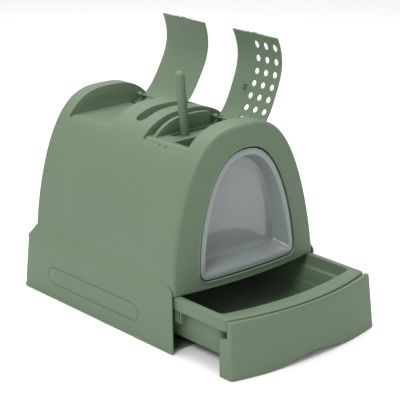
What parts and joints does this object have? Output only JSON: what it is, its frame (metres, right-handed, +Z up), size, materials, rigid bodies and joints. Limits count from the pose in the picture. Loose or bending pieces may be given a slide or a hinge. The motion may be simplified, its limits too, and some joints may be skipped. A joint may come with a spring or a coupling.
{
  "type": "hooded cat litter box",
  "caption": "Domed cat litter box with a pull-out litter drawer, a clear swinging door flap, hinged top lids, an upright scoop and a carbon filter.",
  "frame": {"origin": "on the floor, under the middle of the whole object as it stands with its drawer pulled out", "axes": "+X to the right as seen from the door, +Y from the door towards the rear, +Z up"},
  "size_m": [0.4, 0.6868, 0.5708],
  "materials": {
    "shell_plastic": "fine satin moulding",
    "clear_plastic": "smoky clear, glossy",
    "filter_foam": "open carbon foam",
    "foot_rubber": "soft non-slip"
  },
  "bodies": {
    "shell": {"hood": "shell_plastic", "base": "shell_plastic", "floor_pan": "shell_plastic", "scoop_holder": "shell_plastic", "filter_holder": "shell_plastic", "carbon_filter": "filter_foam", "front_lid_pin": "shell_plastic", "rear_lid_pin": "shell_plastic", "flap_pin_left": "shell_plastic", "flap_pin_right": "shell_plastic", "foot_front_left": "foot_rubber", "foot_front_right": "foot_rubber", "foot_rear_left": "foot_rubber", "foot_rear_right": "foot_rubber"},
    "drawer": {"drawer_tray": "shell_plastic", "drawer_front": "shell_plastic"},
    "front_lid": {"front_lid": "shell_plastic"},
    "rear_lid": {"rear_lid": "shell_plastic"},
    "flap": {"flap": "clear_plastic"},
    "scoop": {"scoop": "shell_plastic"}
  },
  "joints": [
    {"name": "drawer_slide", "type": "slide", "parent": "shell", "child": "drawer", "axis": [0, -1, 0], "range_m": [-0.128, 0.24]},
    {"name": "flap_swing", "type": "hinge", "parent": "shell", "child": "flap", "pos_m": [0, -0.1386, 0.345], "axis": [1, 0, 0], "range_deg": [-32, 38]},
    {"name": "front_lid_hinge", "type": "hinge", "parent": "shell", "child": "front_lid", "pos_m": [0.072, -0.03, 0.394], "axis": [0, 1, 0], "range_deg": [-112.5, 0]},
    {"name": "rear_lid_hinge", "type": "hinge", "parent": "shell", "child": "rear_lid", "pos_m": [0.072, 0.208, 0.394], "axis": [0, 1, 0], "range_deg": [-120, 0]},
    {"name": "scoop_slide", "type": "slide", "parent": "shell", "child": "scoop", "axis": [-0.1093, 0, 0.994], "range_m": [-0.1, 0]}
  ],
  "couplings": [
    {"joint": "scoop_slide", "follows": "front_lid_hinge", "m_per_rad": 0.0509}
  ]
}
